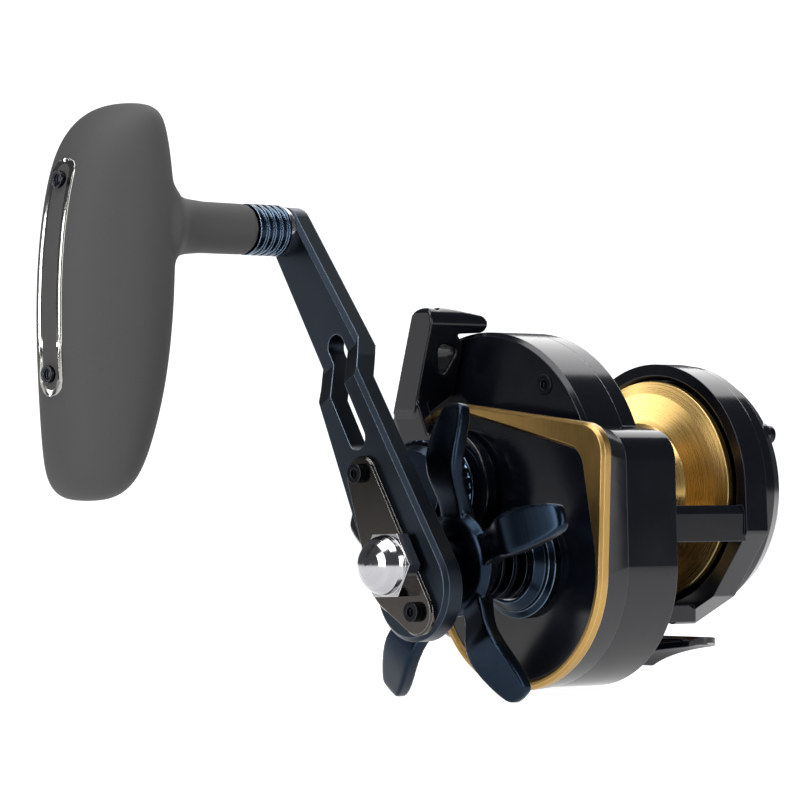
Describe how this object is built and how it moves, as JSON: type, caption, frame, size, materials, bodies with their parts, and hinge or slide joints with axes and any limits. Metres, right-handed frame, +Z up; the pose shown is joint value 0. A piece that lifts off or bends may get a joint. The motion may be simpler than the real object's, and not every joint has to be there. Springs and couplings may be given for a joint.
{
  "type": "trolling reel",
  "caption": "Star-drag trolling reel with a foot for a rod seat, cranked by an offset arm and grip; a lever frees the spool and a knob sets casting tension.",
  "frame": {"origin": "middle of the flat seat under the reel foot, below the middle of the spool", "axes": "+X along the spool axis away from the handle, -Y towards the rod tip, +Z up from the rod to the spool"},
  "size_m": [0.1871, 0.098, 0.1384],
  "materials": {
    "black_anodised": "gloss black anodised aluminium",
    "blue_anodised": "dark blue anodised aluminium",
    "arm_anodised": "satin dark blue-grey anodised aluminium",
    "gold_anodised": "brushed gold anodised aluminium",
    "gunmetal": "satin gunmetal",
    "chrome_trim": "polished chrome",
    "stainless": "turned stainless steel",
    "gear_brass": "machined brass",
    "soft_grip": "matte fine-grained grey",
    "fibre": "woven carbon fibre drag washer"
  },
  "bodies": {
    "frame": {"frame": "black_anodised", "side_plate": "black_anodised", "gear_cover": "black_anodised", "gold_trim": "gold_anodised", "left_plate": "black_anodised", "reel_foot": "black_anodised", "drag_dial": "blue_anodised", "clutch_shell": "stainless", "clutch_rollers": "stainless", "yoke_posts": "stainless", "yoke_springs": "stainless", "side_plate_screws": "stainless", "left_plate_screws": "stainless", "foot_screws": "stainless", "spool_bearing_right": "stainless", "spool_bearing_left": "stainless", "pinion_bearing": "stainless", "shaft_bearing_inner": "stainless", "shaft_bearing_outer": "stainless"},
    "spool": {"spool": "gold_anodised", "spool_shaft": "stainless", "spool_pin": "stainless"},
    "crank": {"drive_shaft": "stainless", "drive_gear": "gear_brass", "fibre_washers": "fibre", "metal_washers": "stainless", "clutch_sleeve": "stainless", "spring_washers": "stainless", "hub_spacer": "stainless", "handle_arm": "arm_anodised", "retainer_plate": "gunmetal", "retainer_screws": "stainless", "handle_nut": "chrome_trim", "knob_spindle": "stainless", "knob_washer": "stainless"},
    "star": {"star_drag": "blue_anodised", "star_nut": "stainless"},
    "knob": {"knob_grip": "soft_grip", "knob_collar": "blue_anodised", "knob_plate": "gunmetal", "knob_plate_screws": "stainless", "knob_bearing_inner": "stainless", "knob_bearing_outer": "stainless"},
    "cast": {"cast_control_knob": "blue_anodised", "tension_shims": "stainless"},
    "lever": {"clutch_lever": "black_anodised", "clutch_cam": "stainless"},
    "yoke": {"pinion_yoke": "stainless"},
    "pinion": {"pinion_gear": "gear_brass"}
  },
  "joints": [
    {"name": "handle_spin", "type": "hinge", "parent": "frame", "child": "crank", "pos_m": [0, -0.02227, 0.02003], "axis": [1, 0, 0], "continuous": true},
    {"name": "spool_spin", "type": "hinge", "parent": "frame", "child": "spool", "pos_m": [0, 0, 0.037], "axis": [1, 0, 0], "continuous": true},
    {"name": "star_turn", "type": "hinge", "parent": "crank", "child": "star", "pos_m": [0, -0.02227, 0.02003], "axis": [1, 0, 0], "range_deg": [-60, 60]},
    {"name": "knob_spin", "type": "hinge", "parent": "crank", "child": "knob", "pos_m": [0, 0.0262, 0.09882], "axis": [1, 0, 0], "continuous": true},
    {"name": "cast_control_turn", "type": "hinge", "parent": "frame", "child": "cast", "pos_m": [0, 0, 0.037], "axis": [1, 0, 0], "range_deg": [-90, 90]},
    {"name": "clutch_lever_turn", "type": "hinge", "parent": "frame", "child": "lever", "pos_m": [0, 0, 0.037], "axis": [1, 0, 0], "range_deg": [0, 35]},
    {"name": "yoke_slide", "type": "slide", "parent": "frame", "child": "yoke", "axis": [-1, 0, 0], "range_m": [0, 0.0015]},
    {"name": "pinion_spin", "type": "hinge", "parent": "yoke", "child": "pinion", "pos_m": [0, 0, 0.037], "axis": [1, 0, 0], "continuous": true}
  ],
  "couplings": [
    {"joint": "spool_spin", "follows": "handle_spin", "ratio": -4.7143},
    {"joint": "pinion_spin", "follows": "handle_spin", "ratio": -4.7143},
    {"joint": "yoke_slide", "follows": "clutch_lever_turn", "m_per_rad": 0.0024555}
  ]
}
